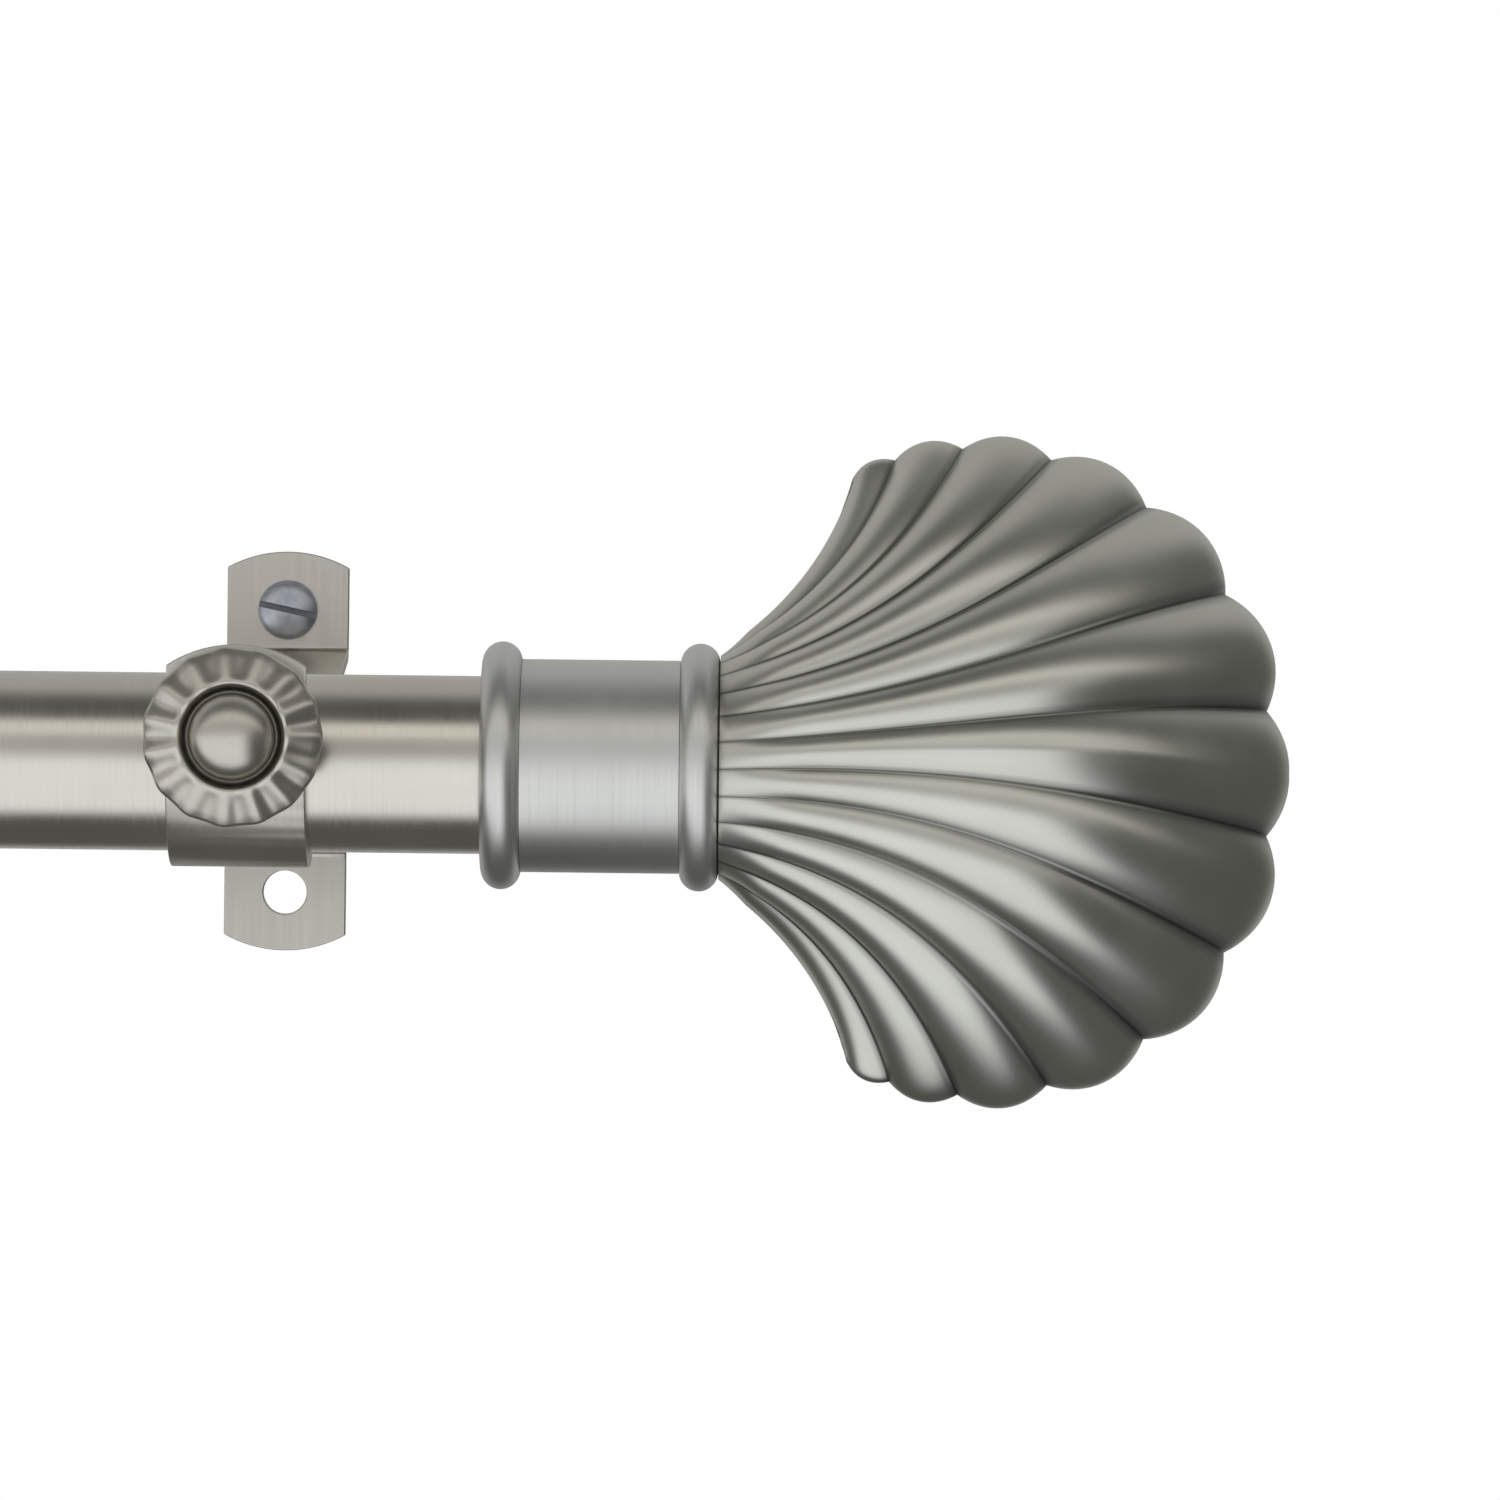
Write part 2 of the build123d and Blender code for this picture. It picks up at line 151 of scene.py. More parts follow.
def mark_hollow(mesh, is_hollow):
    """Gives the faces whose centre passes the test a hollow attribute of 1, and the others 0."""
    attribute = mesh.attributes.new("hollow", "FLOAT", "FACE")
    attribute.data.foreach_set("value", [float(is_hollow(face.center)) for face in mesh.polygons])


# Materials
def new_material(name):
    material = bpy.data.materials.new(name)
    material.use_nodes = True
    tree = material.node_tree
    return material, tree, tree.nodes["Principled BSDF"]


def add_node(tree, kind, inputs=(), **settings):
    """A node with its settings, and with its inputs given as (socket name, value or output socket)."""
    node = tree.nodes.new(kind)
    for key, value in settings.items():
        setattr(node, key, value)
    for socket, value in inputs:
        if isinstance(value, bpy.types.NodeSocket):
            tree.links.new(value, node.inputs[socket])
        else:
            node.inputs[socket].default_value = value
    return node


def ramp(tree, factor, stops):
    """A colour ramp with (position, colour) stops. A single number stands for a grey."""
    node = add_node(tree, "ShaderNodeValToRGB", [("Fac", factor)])
    elements = node.color_ramp.elements
    while len(elements) < len(stops):
        elements.new(0.5)
    for element, (position, colour) in zip(elements, stops):
        element.position = position
        grey = isinstance(colour, (int, float))
        element.color = (colour, colour, colour, 1) if grey else (*colour, 1)
    return node.outputs["Color"]


def noise(tree, place, scale, detail=3.0, stretch=(1, 1, 1)):
    """Noise over the object's own coordinates, scale features to the metre. stretch multiplies it by axis."""
    mapped = add_node(tree, "ShaderNodeMapping", [("Vector", place), ("Scale", stretch)])
    node = add_node(
        tree,
        "ShaderNodeTexNoise",
        [("Vector", mapped.outputs["Vector"]), ("Scale", scale), ("Detail", detail)],
    )
    return node.outputs["Fac"]


def darker_in_hollows(tree, colour, stops):
    """The colour times a ramp over the mesh's hollow attribute, which is 0 on a mesh that has none."""
    hollow = add_node(tree, "ShaderNodeAttribute", attribute_name="hollow").outputs["Fac"]
    inputs = [("Factor", 1.0), ("A", colour), ("B", ramp(tree, hollow, stops))]
    coated = add_node(tree, "ShaderNodeMix", inputs, data_type="RGBA", blend_type="MULTIPLY")
    return coated.outputs["Result"]


def metal(name, light, dark, roughness, brush, brush_depth, spread=0.06, blotch=70, grain_scale=2600):
    """A brushed or satin metal.

    light and dark are the colours that a slow cloud mixes. brush stretches the fine noise by axis, so that
    the scratches run along the axis with the smallest number. spread is how much roughness changes. A mesh
    with a hollow attribute is darker where that is 1: painted shade, for the shade down in a recess.
    """
    material, tree, shader = new_material(name)
    place = add_node(tree, "ShaderNodeTexCoord").outputs["Object"]
    cloud = noise(tree, place, blotch, detail=4.0)
    lines = noise(tree, place, grain_scale, detail=2.0, stretch=brush)
    shader.inputs["Metallic"].default_value = 1.0
    body = ramp(tree, cloud, [(0.3, dark), (0.7, light)])
    # Painted shade: the base colour falls to 0.36 of itself where the hollow attribute is 1, in recesses and
    # slots.
    tree.links.new(darker_in_hollows(tree, body, [(0.0, 1.0), (1.0, 0.36)]), shader.inputs["Base Color"])
    mixed = add_node(tree, "ShaderNodeMath", [(0, cloud), (1, lines)], operation="ADD")
    finish = add_node(
        tree,
        "ShaderNodeMapRange",
        [
            ("Value", mixed.outputs[0]),
            ("From Min", 0.6),
            ("From Max", 1.4),
            ("To Min", roughness - spread),
            ("To Max", roughness + spread),
        ],
    )
    tree.links.new(finish.outputs[0], shader.inputs["Roughness"])
    bump = add_node(
        tree,
        "ShaderNodeBump",
        [("Height", lines), ("Distance", brush_depth * MM), ("Strength", 1.0)],
    )
    tree.links.new(bump.outputs["Normal"], shader.inputs["Normal"])
    return material


def plastic(name, light, dark, roughness):
    """Moulded nylon: milky, with a fine orange-peel surface."""
    material, tree, shader = new_material(name)
    place = add_node(tree, "ShaderNodeTexCoord").outputs["Object"]
    cloud = noise(tree, place, 120, detail=4.0)
    peel = noise(tree, place, 3000, detail=2.0)
    tree.links.new(ramp(tree, cloud, [(0.3, dark), (0.7, light)]), shader.inputs["Base Color"])
    shader.inputs["Subsurface Weight"].default_value = 0.15
    shader.inputs["Subsurface Scale"].default_value = 0.001
    finish = add_node(
        tree,
        "ShaderNodeMapRange",
        [("Value", cloud), ("To Min", roughness - 0.08), ("To Max", roughness + 0.08)],
    )
    tree.links.new(finish.outputs[0], shader.inputs["Roughness"])
    bump = add_node(tree, "ShaderNodeBump", [("Height", peel), ("Distance", 0.01 * MM)])
    tree.links.new(bump.outputs["Normal"], shader.inputs["Normal"])
    return material


def pewter(name):
    """Satin pewter over cast resin, its colour darker down in the grooves."""
    light, dark = (0.68, 0.68, 0.63), (0.58, 0.58, 0.53)
    material, tree, shader = new_material(name)
    place = add_node(tree, "ShaderNodeTexCoord").outputs["Object"]
    cloud = noise(tree, place, 60, detail=5.0)
    grain = noise(tree, place, 3500, detail=3.0)
    body = ramp(tree, cloud, [(0.3, dark), (0.7, light)])
    # The colour falls to 0.18 of itself on the floor of each groove and stays near full on the crowns.
    groove_darkening = [(0.0, 1.0), (0.6, 0.93), (0.9, 0.5), (1.0, 0.18)]
    tree.links.new(darker_in_hollows(tree, body, groove_darkening), shader.inputs["Base Color"])
    shader.inputs["Metallic"].default_value = 1.0
    finish = add_node(
        tree,
        "ShaderNodeMapRange",
        [("Value", cloud), ("From Min", 0.3), ("From Max", 0.7), ("To Min", 0.30), ("To Max", 0.37)],
    )
    tree.links.new(finish.outputs[0], shader.inputs["Roughness"])
    bump = add_node(tree, "ShaderNodeBump", [("Height", grain), ("Distance", 0.006 * MM)])
    tree.links.new(bump.outputs["Normal"], shader.inputs["Normal"])
    return material


# How the fine noise is stretched by axis: round the rod, down the strip, or not at all
ROUND_X = (1, 0.02, 0.02)
DOWN_Z = (1, 0.15, 0.02)
EVEN = (1, 1, 1)

tube_nickel = metal("tube_nickel", (0.68, 0.65, 0.60), (0.62, 0.59, 0.54), 0.25, ROUND_X, 0.0006)
strip_nickel = metal("strip_nickel", (0.66, 0.63, 0.58), (0.56, 0.53, 0.48), 0.38, DOWN_Z, 0.006)
knob_nickel = metal("knob_nickel", (0.62, 0.59, 0.54), (0.55, 0.52, 0.47), 0.34, EVEN, 0.0004)
collar_nickel = metal("collar_nickel", (0.72, 0.72, 0.70), (0.68, 0.68, 0.66), 0.42, ROUND_X, 0.0015)
zinc = metal("zinc", (0.66, 0.69, 0.76), (0.44, 0.47, 0.54), 0.45, EVEN, 0.02, spread=0.1, blotch=500)
nylon = plastic("nylon", (0.80, 0.79, 0.74), (0.70, 0.69, 0.64), 0.45)
shell_pewter = pewter("shell_pewter")


# Finial shell, in millimetres and in a frame of its own: along the rod, out from the wall, and up
RIBS = 13
NECK_START = 27.5
NECK_RADIUS = 12.95
FAN_CENTRE = 55.0
FAN_ANGLE = 110.2
FAN_EVENNESS = 0.38
FAN_RADIUS = 36.1
FAN_SWELL = 1.8
LEAVE_ANGLE = 33.0
LEAVE_REACH = 0.42
ARRIVE_ANGLE = 74.0
ARRIVE_REACH = 0.32
BELLY_RISE = 44.9
BELLY_FALL = 45.6
RIB_HEIGHT = 0.160
RIB_START = 0.08
FINIAL_ROLL = 6.2
RIB_STEPS = 18
STAGES = 72


def fan_line(s, t):
    """A point in the shell's middle plane, (along, up): s goes across the fan from -1 to 1, t outwards."""
    side = 1 if s >= 0 else -1
    s = abs(s)
    across_fan = sin(pi / 2 * s)
    turn = radians(FAN_ANGLE) * (FAN_EVENNESS * s + (1 - FAN_EVENNESS) * across_fan)
    reach = FAN_RADIUS + FAN_SWELL * sin(pi * s)
    start = (NECK_START, NECK_RADIUS * across_fan)
    end = (FAN_CENTRE + reach * cos(turn), reach * sin(turn))
    chord = hypot(end[0] - start[0], end[1] - start[1])
    leave = radians(LEAVE_ANGLE) * s**1.5
    arrive = radians(ARRIVE_ANGLE) * across_fan**1.25
    out = (start[0] + LEAVE_REACH * chord * cos(leave), start[1] + LEAVE_REACH * chord * sin(leave))
    back = (end[0] - ARRIVE_REACH * chord * cos(arrive), end[1] - ARRIVE_REACH * chord * sin(arrive))
    weights = ((1 - t) ** 3, 3 * t * (1 - t) ** 2, 3 * t * t * (1 - t), t**3)
    corners = (start, out, back, end)
    along = sum(w * c[0] for w, c in zip(weights, corners))
    up = sum(w * c[1] for w, c in zip(weights, corners))
    return along, side * up


def shell_body(s, stage):
    """A point on the front of the smooth body. stage runs from 0 at the neck to 1 at the rim."""
    t = sin(pi / 2 * stage)
    along, up = fan_line(s, t)
    swell = (NECK_RADIUS + BELLY_RISE * t - BELLY_FALL * t * t) * sqrt(max(0.0, 1 - t**4))
    return Vector((along, swell * cos(pi / 2 * s), up))


def rib_crown(s):
    """How high a rib stands at s, from 0 in a valley to 1 on its crown."""
    place = s * RIBS / 2
    off_crown = abs(2 * (place - round(place)))
    return 1 - off_crown**2


def ribbed_point(s, stage):
    """A point on the front of the ribbed shell."""
    nudge = 0.0005
    low_s, high_s = max(-1.0, s - nudge), min(1.0, s + nudge)
    low, high = max(0.0, stage - nudge), min(1.0, stage + nudge)
    along_s = (shell_body(high_s, stage) - shell_body(low_s, stage)) / (high_s - low_s)
    along_stage = shell_body(s, high) - shell_body(s, low)
    normal = along_s.cross(along_stage).normalized()
    centre = shell_body(s, stage)
    if normal.dot(centre - Vector((NECK_START, 0, 0))) < 0:
        normal = -normal
    if stage == 1:
        normal = Vector((normal.x, 0, normal.z)).normalized()
    width = along_s.length * 2 / RIBS
    fade = min(1.0, stage / RIB_START)
    return centre + normal * (RIB_HEIGHT * width * rib_crown(s) * fade)


def shell_points():
    """Rings from the neck to the rim, and how deep in a groove each of their points lies.

    A ring goes up the front and comes back down the mirrored back.
    """
    columns = [-1 + 2 * i / (RIBS * RIB_STEPS) for i in range(RIBS * RIB_STEPS + 1)]
    rings, hollows = [], []
    depth = [1 - rib_crown(s) for s in columns]
    for j in range(STAGES + 1):
        stage = j / STAGES
        front = [ribbed_point(s, stage) for s in columns]
        back = [Vector((p.x, -p.y, p.z)) for p in reversed(front)]
        rings.append(front + back)
        hollows.append(depth + depth[::-1])
    return rings, hollows


def finial_shell(name, side, start):
    """The ribbed shell as one closed mesh, turned a few degrees about the rod."""
    rings, hollows = shell_points()
    roll = radians(FINIAL_ROLL)
    outwards = Vector((0, -cos(roll), sin(roll)))
    upwards = Vector((0, sin(roll), cos(roll)))
    points = []
    for ring in rings:
        for p in ring:
            shift = Vector((side * p.x, 0, 0)) + outwards * p.y + upwards * p.z
            points.append(start + shift * MM)
    count = len(rings[0])
    faces = ring_faces(len(rings), count)
    faces.append(tuple(range(count)))
    piece = mesh_piece(name, points, faces, shell_pewter, sharp_above=80)
    attribute = piece.data.attributes.new("hollow", "FLOAT", "POINT")
    attribute.data.foreach_set("value", [value for ring in hollows for value in ring])
    tidy_mesh(piece.data)
    return piece


# Rosette knob, in millimetres
PETALS = 15
ROSETTE_RADIUS = 10.3
CRATER_RADIUS = 6.0
ROSETTE_DEPTH = 2.8
STEM_HOLE = 1.45
SEAT = 0.6
SHEET = 1.0
PLEAT_DEPTH = 0.5
PLEAT_INSET = 0.25


def pleat(angle):
    """The height of a petal's fold at an angle: 1 on a ridge, 0 in a fold."""
    place = (angle / (2 * pi) * PETALS) % 1
    return 0.5 + 0.5 * cos(2 * pi * place)


def rosette(name, centre):
    """The pressed disc. centre is on the rim's plane, and distances run out into the room from there.

    The profile lists radius, distance and the share of a pleat's depth that the fold has there.
    """
    profile = [
        (STEM_HOLE, SEAT, 0),
        (CRATER_RADIUS - 0.7, SEAT, 0),
        (CRATER_RADIUS - 0.5, SEAT + 0.02, 0),
        (CRATER_RADIUS + 0.1, SEAT + 0.5, 0),
        (CRATER_RADIUS + 0.6, ROSETTE_DEPTH - 1.1, 0),
        (ROSETTE_RADIUS - 0.9, 0.15, 0.1),
        (ROSETTE_RADIUS - 0.25, 0.0, 0.3),
        (ROSETTE_RADIUS - 0.02, 0.15, 0.6),
        (ROSETTE_RADIUS, 0.45, 0.8),
        (ROSETTE_RADIUS - 0.06, 0.75, 0.95),
        (ROSETTE_RADIUS - 0.3, 1.02, 1.0),
        (ROSETTE_RADIUS - 1.2, 1.5, 0.95),
        (ROSETTE_RADIUS - 2.2, 2.0, 0.8),
        (CRATER_RADIUS + 1.0, 2.5, 0.55),
        (CRATER_RADIUS + 0.55, 2.71, 0.42),
        (CRATER_RADIUS + 0.25, ROSETTE_DEPTH, 0.35),
        (CRATER_RADIUS + 0.05, 2.74, 0.32),
        (CRATER_RADIUS - 0.1, 2.5, 0.28),
        (CRATER_RADIUS - 0.35, 2.0, 0.1),
        (CRATER_RADIUS - 0.6, 1.7, 0),
        (CRATER_RADIUS - 0.9, 1.62, 0),
        (STEM_HOLE, SEAT + SHEET, 0),
    ]
    folds = {(r * MM, d * MM): fold for r, d, fold in profile}

    def shape(radius, distance, angle):
        fold = folds[radius, distance] * (1 - pleat(angle))
        outer = radius > (CRATER_RADIUS + 0.7) * MM
        return radius - fold * PLEAT_INSET * MM * outer, distance - fold * PLEAT_DEPTH * MM

    outline = [(r * MM, d * MM) for r, d, fold in profile]
    rows = outline + outline[:1]
    into_room = Vector((0, -1, 0))
    piece = turned_piece(name, rows, centre, into_room, knob_nickel, PETALS * 16, shape, sharp_above=50)

    # Painted shade: the crater round the dome is marked hollow, so the metal colour there is darkened for the
    # shade in the groove.
    def in_crater(point):
        place = point - centre
        return hypot(place.x, place.z) < (CRATER_RADIUS - 0.3) * MM and place.y < -1.5 * MM

    mark_hollow(piece.data, in_crater)
    return piece


# Screws
THREAD_RADIUS = 2.0 * MM
THREAD_PITCH = 0.7 * MM
THREAD_DEPTH = 0.36 * MM
WOOD_PITCH = 1.6 * MM
WOOD_DEPTH = 0.55 * MM


def thread_rows(start, end, pitch, radius, steps=8):
    """Profile rows along a threaded length."""
    count = int(abs(end - start) / pitch * steps)
    return [(radius, start + (end - start) * i / count) for i in range(count + 1)]


def thread_cut(start, end, pitch, depth):
    """A shape that cuts a pointed thread between two distances, fading over its first and last turn."""

    def shape(radius, distance, angle):
        into = min(distance - start, end - distance) / pitch
        if into <= 0:
            return radius, distance
        place = (distance / pitch - angle / (2 * pi)) % 1
        groove = min(1.0, 2.4 * abs(place - 0.5))
        return radius - depth * groove * min(1.0, into), distance

    return shape


def cut_slot(piece, centre, size, turn):
    """Cuts a straight slot with a box of that size, placed at centre and turned by the rotation given."""
    corners = [
        Vector((x * size[0] / 2, y * size[1] / 2, z * size[2] / 2))
        for x in (-1, 1)
        for y in (-1, 1)
        for z in (-1, 1)
    ]
    faces = [(0, 1, 3, 2), (4, 6, 7, 5), (0, 4, 5, 1), (2, 3, 7, 6), (0, 2, 6, 4), (1, 5, 7, 3)]
    cutter = mesh_piece("cutter", [centre + turn @ c for c in corners], faces, piece.data.materials[0])
    tidy_mesh(cutter.data)
    modifier = piece.modifiers.new("slot", "BOOLEAN")
    modifier.object = cutter
    modifier.solver = "EXACT"
    evaluated = piece.evaluated_get(bpy.context.evaluated_depsgraph_get())
    mesh = bpy.data.meshes.new_from_object(evaluated)
    piece.modifiers.clear()
    piece.data = mesh
    mesh.polygons.foreach_set("use_smooth", [True] * len(mesh.polygons))
    mesh.set_sharp_from_angle(angle=radians(35))
    bpy.data.objects.remove(cutter)
    back = turn.inverted()

    # Painted shade: the slot's faces are marked hollow, so the metal colour inside the slot is darkened.
    def in_slot(point):
        place = back @ (point - centre)
        return all(abs(place[axis]) < size[axis] / 2 + 0.01 * MM for axis in range(3))

    mark_hollow(mesh, in_slot)


def arc(start, end, bulge, steps=10):
    """Points of a quarter-round from start to end. bulge names the coordinate that leads at the start."""
    points = []
    for i in range(steps + 1):
        a = pi / 2 * i / steps
        r_share, d_share = (sin(a), 1 - cos(a)) if bulge == "radius" else (1 - cos(a), sin(a))
        points.append((start[0] + (end[0] - start[0]) * r_share, start[1] + (end[1] - start[1]) * d_share))
    return points


def wall_screw(name, node):
    """A slotted round-head wood screw."""
    low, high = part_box(node)
    centre = Vector((middle(node).x, 0, middle(node).z))
    head = half_width(node)
    shank = 2.1 * MM
    tip, crown, seat = high.y, low.y, -1.5 * MM
    dome = arc((AXIS_GAP, crown), (head, seat - 0.55 * MM), "radius", 14)
    rows = dome + [
        (head, seat - 0.25 * MM),
        (head - 0.15 * MM, seat - 0.02 * MM),
        (head - 0.3 * MM, seat),
        (shank + 0.4 * MM, seat),
        (shank + 0.4 * MM, 0),
        (shank, 0),
        (shank, 4 * MM),
    ]
    thread_start, thread_end = 4 * MM, tip - 0.5 * MM
    for radius, distance in thread_rows(thread_start, thread_end, WOOD_PITCH, shank):
        taper = min(1.0, (tip - distance) / (8 * MM)) ** 0.8
        rows.append((max(0.1 * MM, shank * taper), distance))
    rows.append((AXIS_GAP, tip))
    cut = thread_cut(thread_start, thread_end, WOOD_PITCH, WOOD_DEPTH)

    def shape(radius, distance, angle):
        r, d = cut(radius, distance, angle)
        return max(r, radius * 0.45), d

    piece = turned_piece(name, rows, centre, Vector((0, 1, 0)), zinc, 48, shape)
    slot = Matrix.Rotation(radians(12), 3, "Y")
    cut_slot(piece, Vector((centre.x, crown, centre.z)), (2.4 * head, 2.8 * MM, 0.8 * MM), slot)
    return piece


def thumb_stem(name, node):
    """The thumb screw's threaded stem and flange."""
    low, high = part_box(node)
    centre = Vector((middle(node).x, 0, middle(node).z))
    flange = half_width(node)
    front, back = low.y, high.y
    shoulder = front + 3.0 * MM
    rows = [
        (AXIS_GAP, front),
        (1.3 * MM, front),
        (1.4 * MM, front + 0.1 * MM),
        (1.4 * MM, shoulder),
        (flange - 0.2 * MM, shoulder),
        (flange, shoulder + 0.2 * MM),
        (flange, shoulder + 1.0 * MM),
        (flange - 0.2 * MM, shoulder + 1.2 * MM),
        (THREAD_RADIUS, shoulder + 1.2 * MM),
    ]
    start, end = shoulder + 1.3 * MM, back - 0.1 * MM
    rows += thread_rows(start, end, THREAD_PITCH, THREAD_RADIUS)
    rows += [(1.8 * MM, back), (AXIS_GAP, back)]
    cut = thread_cut(start, end, THREAD_PITCH, THREAD_DEPTH)
    return turned_piece(name, rows, centre, Vector((0, 1, 0)), zinc, 48, cut)


def lock_screw(name, node):
    """The slotted cheese-head screw that clamps the arm."""
    low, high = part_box(node)
    centre = Vector((middle(node).x, middle(node).y, 0))
    head = half_width(node)
    seat = high.z - 2.4 * MM
    start, end = low.z + 0.1 * MM, seat - 2.0 * MM
    rows = [(AXIS_GAP, low.z), (1.5 * MM, low.z), (1.5 * MM, low.z + 0.05 * MM)]
    rows += thread_rows(start, end, THREAD_PITCH, THREAD_RADIUS)
    rows += [(THREAD_RADIUS, seat), (head - 0.15 * MM, seat), (head, seat + 0.15 * MM)]
    rows += [(head, high.z - 0.6 * MM)]
    rows += arc((head, high.z - 0.6 * MM), (head - 0.6 * MM, high.z), "distance", 6)[1:]
    rows += [(AXIS_GAP, high.z)]
    cut = thread_cut(start, end, THREAD_PITCH, THREAD_DEPTH)
    piece = turned_piece(name, rows, centre, Vector((0, 0, 1)), zinc, 48, cut)
    slot = Matrix.Rotation(radians(35), 3, "Z")
    cut_slot(piece, Vector((centre.x, centre.y, high.z)), (2.4 * head, 1.0 * MM, 2.2 * MM), slot)
    return piece


def thumb_cap(name, node):
    """The domed cap with a thin ring round its foot."""
    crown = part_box(node)[0].y
    centre = Vector((middle(node).x, 0, middle(node).z))
    ring = half_width(node)
    dome, foot = ring - 0.45 * MM, crown + 4.2 * MM
    rows = arc((AXIS_GAP, crown), (dome, foot - 0.75 * MM), "radius", 24)
    rows += [
        (dome + 0.04 * MM, foot - 0.6 * MM),
        (dome + 0.15 * MM, foot - 0.68 * MM),
        (dome + 0.28 * MM, foot - 0.7 * MM),
        (dome + 0.4 * MM, foot - 0.6 * MM),
        (ring, foot - 0.4 * MM),
        (ring, foot),
        (1.4 * MM, foot),
        (1.4 * MM, foot - 2.0 * MM),
        (AXIS_GAP, foot - 2.0 * MM),
    ]
    piece = turned_piece(name, rows, centre, Vector((0, 1, 0)), knob_nickel, 96)
    # Painted shade: the groove round the dome's foot is marked hollow, so the metal colour there is darkened.
    mark_hollow(piece.data, lambda point: point.y > foot - 0.75 * MM)
    return piece


# Tubes and collars
def bead(start, end, base, crown, steps=20):
    """Profile points of a half-round bead from start to end along the axis."""
    points = []
    for i in range(steps + 1):
        a = pi * i / steps
        points.append((base + (crown - base) * sin(a), (start + end) / 2 - (end - start) / 2 * cos(a)))
    return points


def collar(name, node, side):
    """A cylinder between two round beads, hollow to take the sleeve."""
    low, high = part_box(node)
    start = Vector((low.x if side > 0 else high.x, rod_axis_y, 0))
    body, base, crown = 12.33 * MM, 12.0 * MM, 14.35 * MM
    first, last, width = 0.0, 27.5 * MM, 4.6 * MM
    rows = bead(first, first + width, base, crown)
    rows += [(body, first + width + 0.02 * MM), (body, last - width - 0.02 * MM)]
    rows += bead(last - width, last, base, crown)
    rows += [(3.0 * MM, last), (3.0 * MM, last - width), (11.33 * MM, last - width), (11.33 * MM, first)]
    return turned_piece(name, rows + rows[:1], start, Vector((side, 0, 0)), collar_nickel, 160)


def tube(name, node, wall, mouth=None):
    """A tube. mouth is the inner radius that its low-X end is rolled in to."""
    low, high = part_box(node)
    radius = (high.z - low.z) / 2
    bore = radius - wall
    start = low.x
    edge = 0.12 * MM
    if mouth:
        rolled_edge = arc((mouth + 0.1 * MM, start), (radius, start + 0.8 * MM), "radius")
        rows = [(mouth, start + 0.1 * MM)] + rolled_edge
        inner = [(bore, start + 3 * MM), (mouth, start + 2 * MM)]
    else:
        rows = [(bore, start + edge), (bore + edge, start), (radius - edge, start), (radius, start + edge)]
        inner = [(bore, start + edge)]
    rows += [(radius, high.x - edge), (radius - edge, high.x), (bore + edge, high.x), (bore, high.x - edge)]
    rows += inner
    if mouth:
        rows.append(rows[0])
    return turned_piece(name, rows, Vector((0, rod_axis_y, 0)), Vector((1, 0, 0)), tube_nickel, 192)


def stands_for(piece, node):
    """The piece rides on its CAD node's body and replaces it."""
    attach(piece, frame["nodes"][node]["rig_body"])
    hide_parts(node)


for side_name, side in SIDES:
    collar_node = f"{side_name}_finial_collar"
    low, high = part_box(collar_node)
    finial_start = Vector((low.x if side > 0 else high.x, rod_axis_y, 0))
    shell = finial_shell(f"{side_name}_ribbed_shell", side, finial_start)
    stands_for(shell, f"{side_name}_finial_shell")
    stands_for(collar(f"{side_name}_beaded_collar", collar_node, side), collar_node)

    rosette_node = f"{side_name}_rosette"
    rim = middle(rosette_node)
    rim.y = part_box(rosette_node)[1].y
    stands_for(rosette(f"{side_name}_fluted_rosette", rim), rosette_node)
    for part, make, look, slot in (
        ("thumb_cap", thumb_cap, "domed_cap", "knob_nickel"),
        ("thumb_stem", thumb_stem, "threaded_stem", "zinc"),
        ("wall_screw", wall_screw, "wood_screw", "zinc"),
        ("lock_screw", lock_screw, "arm_screw", "zinc"),
    ):
        stands_for(make(f"{side_name}_{look}", f"{side_name}_{part}"), f"{side_name}_{part}")

tube_wall, mouth_radius = 0.8 * MM, 9.35 * MM
stands_for(tube("outer_rod", "outer_tube", tube_wall, mouth_radius), "outer_tube")
stands_for(tube("inner_rod", "inner_tube", tube_wall), "inner_tube")


# The CAD nodes that stay: their edges are broken and their slots filled
finishes = {
    "tube_nickel": tube_nickel,
    "strip_nickel": strip_nickel,
    "knob_nickel": knob_nickel,
    "collar_nickel": collar_nickel,
    "shell_pewter": shell_pewter,
    "zinc": zinc,
    "nylon": nylon,
}
for node in frame["nodes"].values():
    for slot in node.material_slots:
        slot.material = finishes[slot.material.name.split(".")[0]]
    weld = node.modifiers.new("weld", "WELD")
    weld.merge_threshold = 0.0001 * MM
    bevel = node.modifiers.new("edges", "BEVEL")
    bevel.width = 0.18 * MM
    bevel.segments = 2
    bevel.limit_method = "ANGLE"
    bevel.angle_limit = radians(40)
    bevel.harden_normals = True


# Studio
def world_light(tree, place, low, high, left, right, soft, colour, strength):
    """A soft panel far away. low and high are degrees above the view line, left and right shares of +X."""
    tilt, across = place
    edges = []
    for value, start, end, blur in ((tilt, low, high, soft), (across, left, right, soft / 90)):
        for edge, sign in ((start, 1), (end, -1)):
            step = add_node(
                tree,
                "ShaderNodeMapRange",
                [
                    ("Value", value),
                    ("From Min", edge - sign * blur / 2),
                    ("From Max", edge + sign * blur / 2),
                ],
                interpolation_type="SMOOTHSTEP",
            )
            edges.append(step.outputs[0])
    product = edges[0]
    for edge in edges[1:]:
        product = add_node(
            tree, "ShaderNodeMath", [(0, product), (1, edge)], operation="MULTIPLY"
        ).outputs[0]
    return add_node(
        tree,
        "ShaderNodeVectorMath",
        [(0, [c * strength for c in colour]), ("Scale", product)],
        operation="SCALE",
    ).outputs[0]


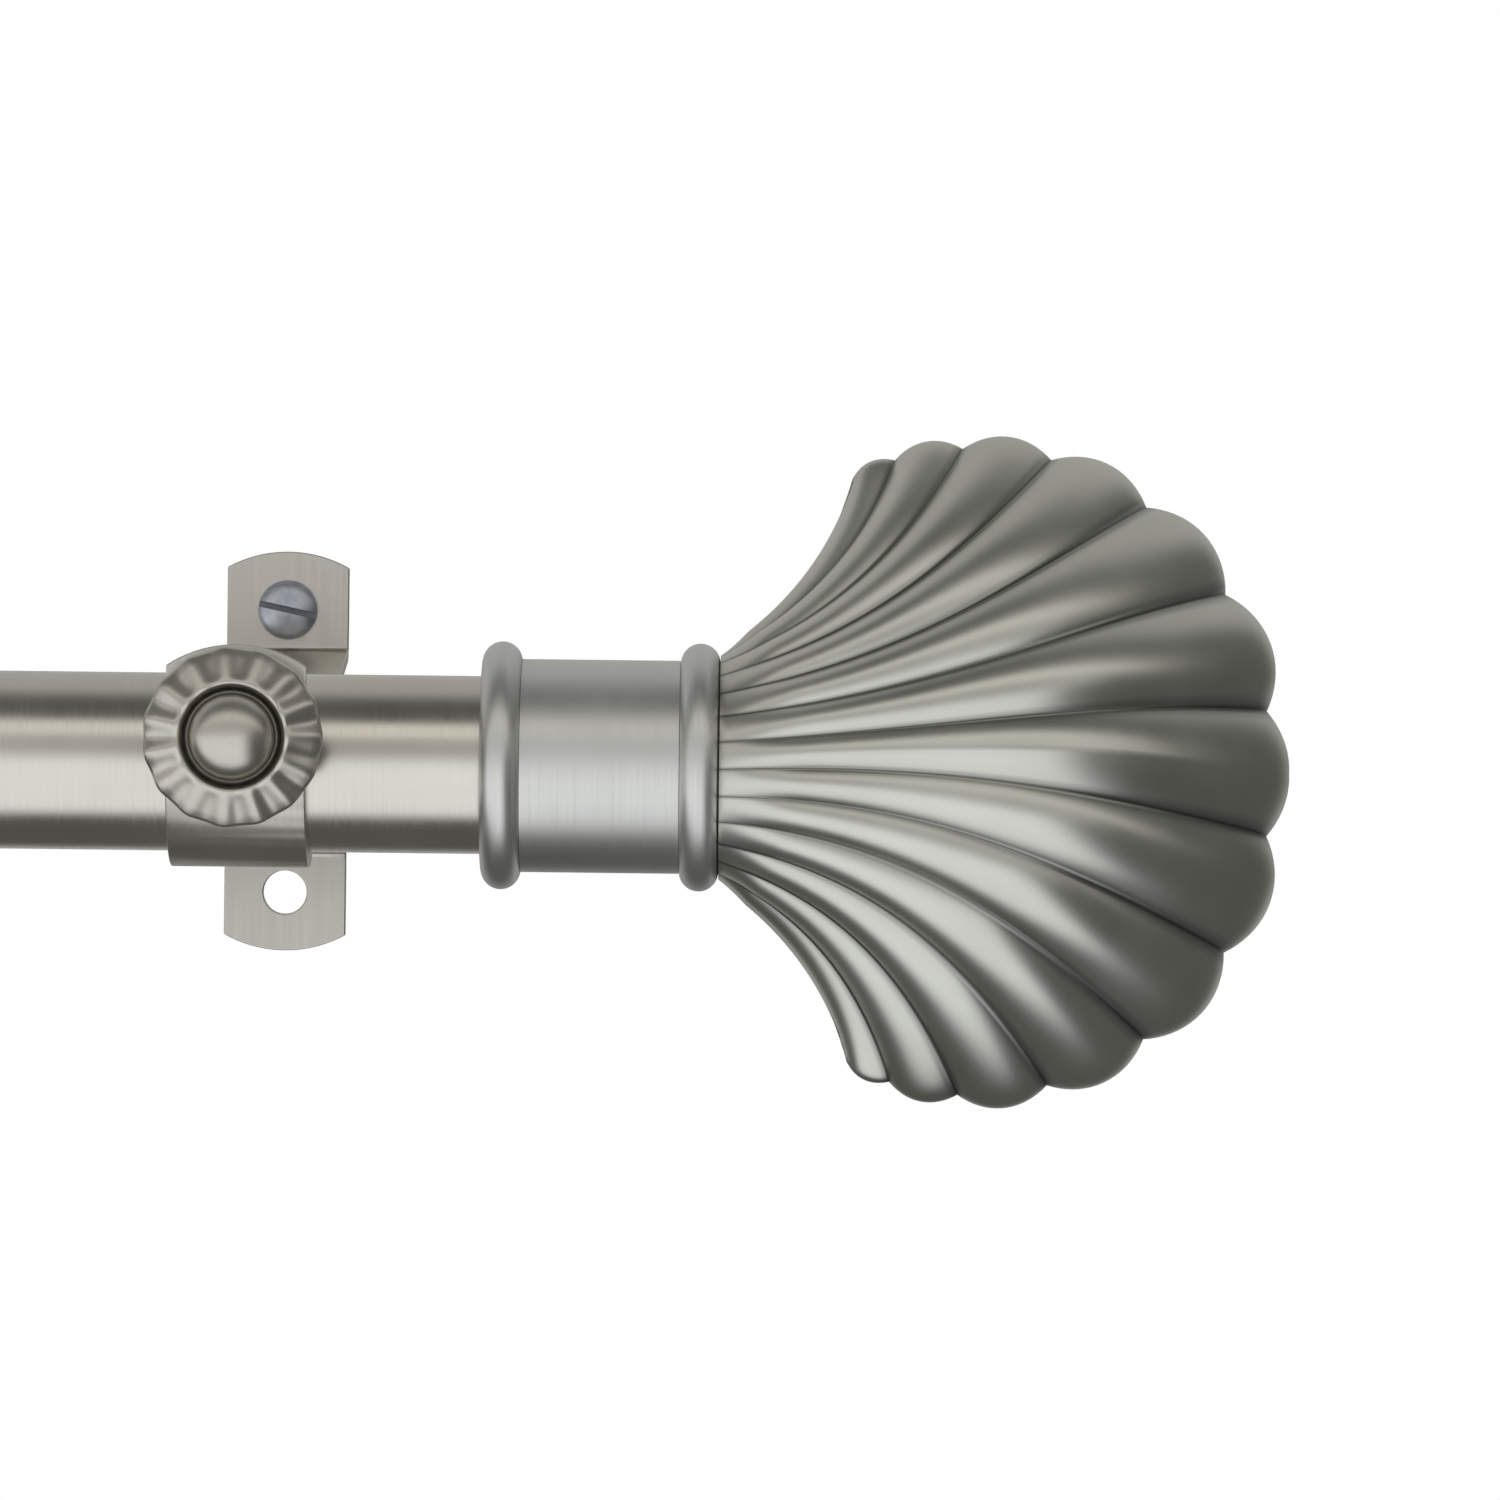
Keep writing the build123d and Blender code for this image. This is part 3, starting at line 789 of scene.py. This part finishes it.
def make_world():
    """White round the object for the camera, and soft panels in a grey room for everything else."""
    world = bpy.data.worlds.new("studio")
    bpy.context.scene.world = world
    world.use_nodes = True
    tree = world.node_tree
    background = tree.nodes["Background"]
    direction = add_node(tree, "ShaderNodeTexCoord").outputs["Generated"]
    parts = add_node(tree, "ShaderNodeSeparateXYZ", [("Vector", direction)])
    forward = add_node(
        tree, "ShaderNodeMath", [(0, parts.outputs["Y"]), (1, -1.0)], operation="MULTIPLY"
    ).outputs[0]
    angle = add_node(
        tree, "ShaderNodeMath", [(0, parts.outputs["Z"]), (1, forward)], operation="ARCTAN2"
    ).outputs[0]
    tilt = add_node(
        tree, "ShaderNodeMath", [(0, angle), (1, 180 / pi)], operation="MULTIPLY"
    ).outputs[0]
    place = tilt, parts.outputs["X"]
    cool, warm, white = (0.96, 0.98, 1.0), (1.0, 0.98, 0.92), (1.0, 0.99, 0.97)
    # Each panel: lowest and highest angle, left and right edge, softness in degrees, colour, strength
    panels = [
        (-72, 6, -1.5, 0.52, 20, cool, 1.05),
        (34, 54, -1.5, 0.95, 12, warm, 0.85),
        (6, 34, -1.5, 0.75, 14, white, 0.38),
        (96, 179.9, -1.5, 0.7, 30, white, 0.38),
        (-179.9, -150, -1.5, 0.7, 30, white, 0.38),
    ]
    total = None
    for low, high, left, right, soft, colour, strength in panels:
        light = world_light(tree, place, low, high, left, right, soft, colour, strength)
        if total is None:
            total = light
        else:
            total = add_node(
                tree, "ShaderNodeVectorMath", [(0, total), (1, light)], operation="ADD"
            ).outputs[0]
    room = add_node(
        tree, "ShaderNodeVectorMath", [(0, total), (1, (0.12, 0.12, 0.115))], operation="ADD"
    ).outputs[0]
    seen = add_node(tree, "ShaderNodeLightPath").outputs["Is Camera Ray"]
    chosen = add_node(
        tree,
        "ShaderNodeMix",
        [("Factor", seen), ("A", room), ("B", (1.0, 1.0, 1.0))],
        data_type="VECTOR",
    )
    tree.links.new(chosen.outputs["Result"], background.inputs["Color"])


def make_floor():
    """A plain pale floor, well below."""
    size, height = 9.0, -1.2
    corners = [(-size, -size, height), (size, -size, height), (size, size, height), (-size, size, height)]
    material, tree, shader = new_material("floor")
    place = add_node(tree, "ShaderNodeTexCoord").outputs["Object"]
    mottle = noise(tree, place, 1.5, detail=2.0)
    tree.links.new(ramp(tree, mottle, [(0.2, 0.86), (0.8, 0.88)]), shader.inputs["Base Color"])
    shader.inputs["Roughness"].default_value = 0.9
    floor = mesh_piece("floor", corners, [(0, 1, 2, 3)], material)
    floor.visible_glossy = False


def make_camera():
    """A long lens that looks into the wall from in front of the right shell's neck."""
    data = bpy.data.cameras.new("camera")
    data.sensor_width = 36
    data.lens = 188.7
    data.clip_start = 0.05
    data.clip_end = 50
    camera = bpy.data.objects.new("camera", data)
    bpy.context.scene.collection.objects.link(camera)
    collar_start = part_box("right_finial_collar")[0].x
    distance = 0.91
    camera.location = (collar_start + 31.0 * MM, rod_axis_y - distance, 2.1 * MM)
    camera.rotation_euler = (radians(90), radians(-0.66), 0)
    bpy.context.scene.camera = camera


bpy.context.scene.view_settings.view_transform = "Standard"
make_camera()
make_floor()
make_world()
